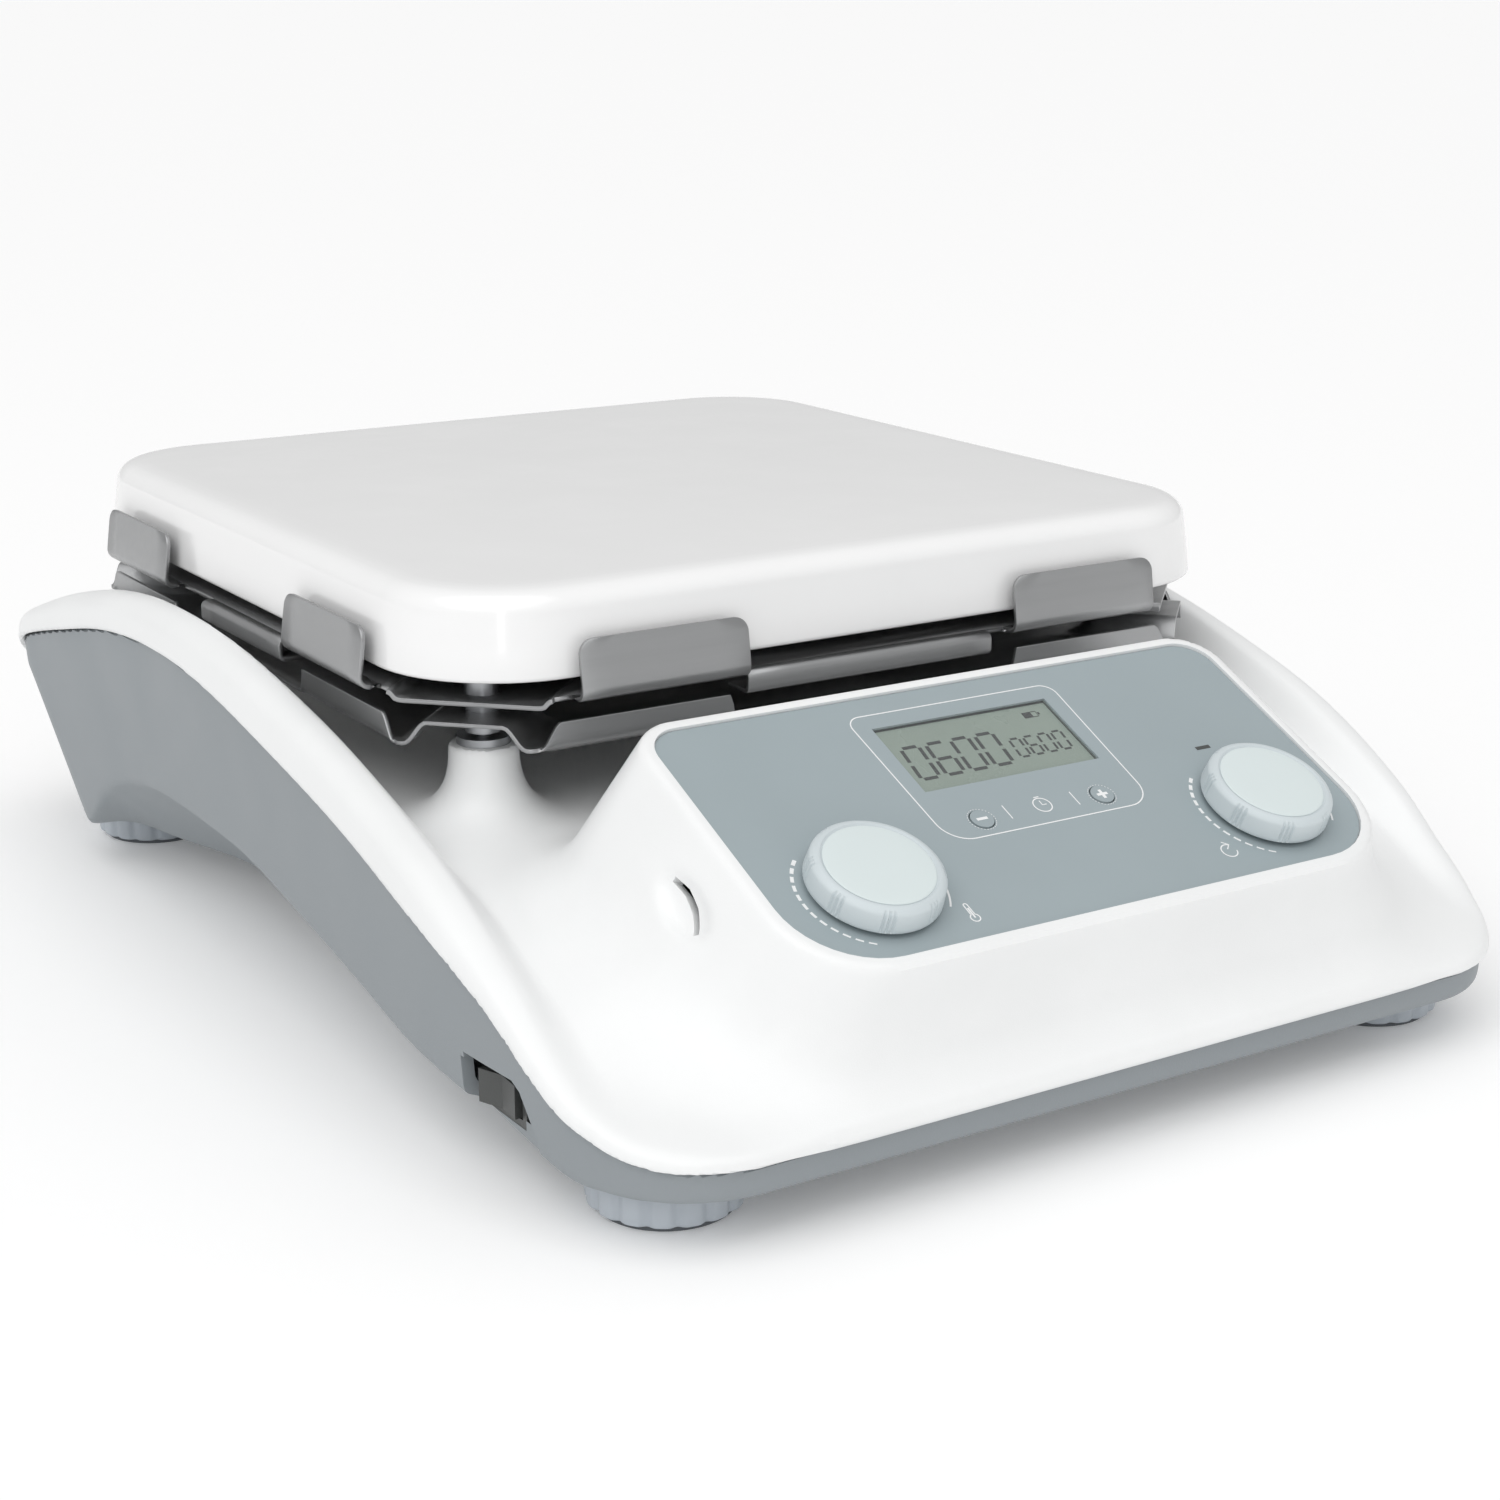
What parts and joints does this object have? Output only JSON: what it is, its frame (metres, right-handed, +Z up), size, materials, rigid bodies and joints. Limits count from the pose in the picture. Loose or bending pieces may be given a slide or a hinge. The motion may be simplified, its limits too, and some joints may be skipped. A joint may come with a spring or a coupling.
{
  "type": "magnetic hotplate stirrer",
  "caption": "Laboratory hotplate stirrer with a square white ceramic-coated plate held by steel clips, a sloping control panel with display and two dials, and levelling feet.",
  "frame": {"origin": "centre of the bounding box's bottom face, on the table under the middle of the housing", "axes": "+Z up, the control panel faces -Y, +X to the operator's right"},
  "size_m": [0.3, 0.412, 0.127],
  "materials": {
    "housing_white": "satin moulded plastic",
    "case_grey": "fine-textured moulded plastic",
    "overlay_grey": "printed satin film",
    "lcd_clear": "clear window",
    "lcd_green": "reflective liquid crystal display",
    "circuit_green": "solder mask",
    "black_plastic": "moulded plastic",
    "dark_grey_plastic": "moulded plastic",
    "knob_grey": "satin moulded plastic",
    "foot_grey": "moulded plastic",
    "rubber_grey": "soft rubber",
    "plate_white": "glossy white ceramic coat on cast aluminium",
    "stainless": "satin stainless sheet",
    "steel": "zinc-plated or turned steel",
    "aluminium": "bare",
    "brass": "turned",
    "copper": "enamelled windings",
    "motor_dark": "black-coated steel",
    "magnet_nickel": "nickel-plated magnet",
    "fibre_mat": "ceramic fibre",
    "mica": "pressed mica sheet"
  },
  "bodies": {
    "stirrer_body": {"lower_case": "case_grey", "upper_housing": "housing_white", "housing_screws": "steel", "foot_inserts": "brass", "top_plate": "plate_white", "heating_element": "mica", "plate_sensor": "steel", "insulation_mat": "fibre_mat", "inner_pan": "stainless", "clip_carrier": "stainless", "heat_shield": "stainless", "post_washers": "steel", "lower_spacers": "steel", "upper_spacers": "steel", "plate_screws": "steel", "heater_leads": "fibre_mat", "lead_grommet": "black_plastic", "motor_bracket": "steel", "motor_case": "motor_dark", "motor_windings": "copper", "motor_bearings": "steel", "panel_overlay": "overlay_grey", "lcd_window": "lcd_clear", "lcd_module": "lcd_green", "display_board": "circuit_green", "button_switches": "black_plastic", "encoder_housings": "steel", "main_board": "circuit_green", "power_board": "circuit_green", "heat_sink": "aluminium", "power_inlet": "black_plastic", "rear_sockets": "steel", "rod_socket": "steel", "switch_frame": "dark_grey_plastic"},
    "drive_rotor": {"motor_rotor": "motor_dark", "motor_shaft": "steel", "magnet_yoke": "steel", "drive_magnets": "magnet_nickel"},
    "temp_dial_ring": {"temp_encoder_ring": "knob_grey"},
    "temp_dial": {"temp_encoder_shaft": "steel", "temp_knob": "knob_grey"},
    "speed_dial_ring": {"speed_encoder_ring": "knob_grey"},
    "speed_dial": {"speed_encoder_shaft": "steel", "speed_knob": "knob_grey"},
    "minus_key": {"minus_button": "knob_grey"},
    "plus_key": {"plus_button": "knob_grey"},
    "rocker": {"power_rocker": "dark_grey_plastic"},
    "fuse_tray": {"fuse_drawer": "black_plastic"},
    "front_left_pad": {"front_left_foot_pad": "rubber_grey"},
    "front_left_wheel": {"front_left_foot_wheel": "foot_grey", "front_left_foot_stud": "steel"},
    "front_right_pad": {"front_right_foot_pad": "rubber_grey"},
    "front_right_wheel": {"front_right_foot_wheel": "foot_grey", "front_right_foot_stud": "steel"},
    "rear_left_pad": {"rear_left_foot_pad": "rubber_grey"},
    "rear_left_wheel": {"rear_left_foot_wheel": "foot_grey", "rear_left_foot_stud": "steel"},
    "rear_right_pad": {"rear_right_foot_pad": "rubber_grey"},
    "rear_right_wheel": {"rear_right_foot_wheel": "foot_grey", "rear_right_foot_stud": "steel"}
  },
  "joints": [
    {"name": "drive_spin", "type": "hinge", "parent": "stirrer_body", "child": "drive_rotor", "pos_m": [0, 0.035, 0.07], "axis": [0, 0, 1], "continuous": true},
    {"name": "temp_turn", "type": "hinge", "parent": "stirrer_body", "child": "temp_dial_ring", "pos_m": [-0.061, -0.1781, 0.06853], "axis": [0, -0.4147, 0.91], "continuous": true},
    {"name": "temp_press", "type": "slide", "parent": "temp_dial_ring", "child": "temp_dial", "axis": [0, 0.4147, -0.91], "range_m": [0, 0.0007], "stiffness_N_per_m": 4000, "springref_m": -0.0005},
    {"name": "speed_turn", "type": "hinge", "parent": "stirrer_body", "child": "speed_dial_ring", "pos_m": [0.061, -0.1781, 0.06853], "axis": [0, -0.4147, 0.91], "continuous": true},
    {"name": "speed_press", "type": "slide", "parent": "speed_dial_ring", "child": "speed_dial", "axis": [0, 0.4147, -0.91], "range_m": [0, 0.0007], "stiffness_N_per_m": 4000, "springref_m": -0.0005},
    {"name": "minus_press", "type": "slide", "parent": "stirrer_body", "child": "minus_key", "axis": [0, 0.4147, -0.91], "range_m": [0, 0.0003], "stiffness_N_per_m": 3000, "springref_m": -0.0004},
    {"name": "plus_press", "type": "slide", "parent": "stirrer_body", "child": "plus_key", "axis": [0, 0.4147, -0.91], "range_m": [0, 0.0003], "stiffness_N_per_m": 3000, "springref_m": -0.0004},
    {"name": "power_rock", "type": "hinge", "parent": "stirrer_body", "child": "rocker", "pos_m": [-0.1355, -0.142, 0.0232], "axis": [0, 0, -1], "range_deg": [0, 18]},
    {"name": "fuse_pull", "type": "slide", "parent": "stirrer_body", "child": "fuse_tray", "axis": [0, 1, 0], "range_m": [0, 0.012]},
    {"name": "front_left_lift", "type": "slide", "parent": "stirrer_body", "child": "front_left_pad", "axis": [0, 0, -1], "range_m": [0, 0.005]},
    {"name": "front_left_turn", "type": "hinge", "parent": "front_left_pad", "child": "front_left_wheel", "pos_m": [-0.112, -0.17, 0.006], "axis": [0, 0, 1], "range_deg": [0, 1440]},
    {"name": "front_right_lift", "type": "slide", "parent": "stirrer_body", "child": "front_right_pad", "axis": [0, 0, -1], "range_m": [0, 0.005]},
    {"name": "front_right_turn", "type": "hinge", "parent": "front_right_pad", "child": "front_right_wheel", "pos_m": [0.112, -0.17, 0.006], "axis": [0, 0, 1], "range_deg": [0, 1440]},
    {"name": "rear_left_lift", "type": "slide", "parent": "stirrer_body", "child": "rear_left_pad", "axis": [0, 0, -1], "range_m": [0, 0.005]},
    {"name": "rear_left_turn", "type": "hinge", "parent": "rear_left_pad", "child": "rear_left_wheel", "pos_m": [-0.112, 0.158, 0.006], "axis": [0, 0, 1], "range_deg": [0, 1440]},
    {"name": "rear_right_lift", "type": "slide", "parent": "stirrer_body", "child": "rear_right_pad", "axis": [0, 0, -1], "range_m": [0, 0.005]},
    {"name": "rear_right_turn", "type": "hinge", "parent": "rear_right_pad", "child": "rear_right_wheel", "pos_m": [0.112, 0.158, 0.006], "axis": [0, 0, 1], "range_deg": [0, 1440]}
  ],
  "couplings": [
    {"joint": "front_left_lift", "follows": "front_left_turn", "m_per_rad": 0.00019894},
    {"joint": "front_right_lift", "follows": "front_right_turn", "m_per_rad": 0.00019894},
    {"joint": "rear_left_lift", "follows": "rear_left_turn", "m_per_rad": 0.00019894},
    {"joint": "rear_right_lift", "follows": "rear_right_turn", "m_per_rad": 0.00019894}
  ]
}
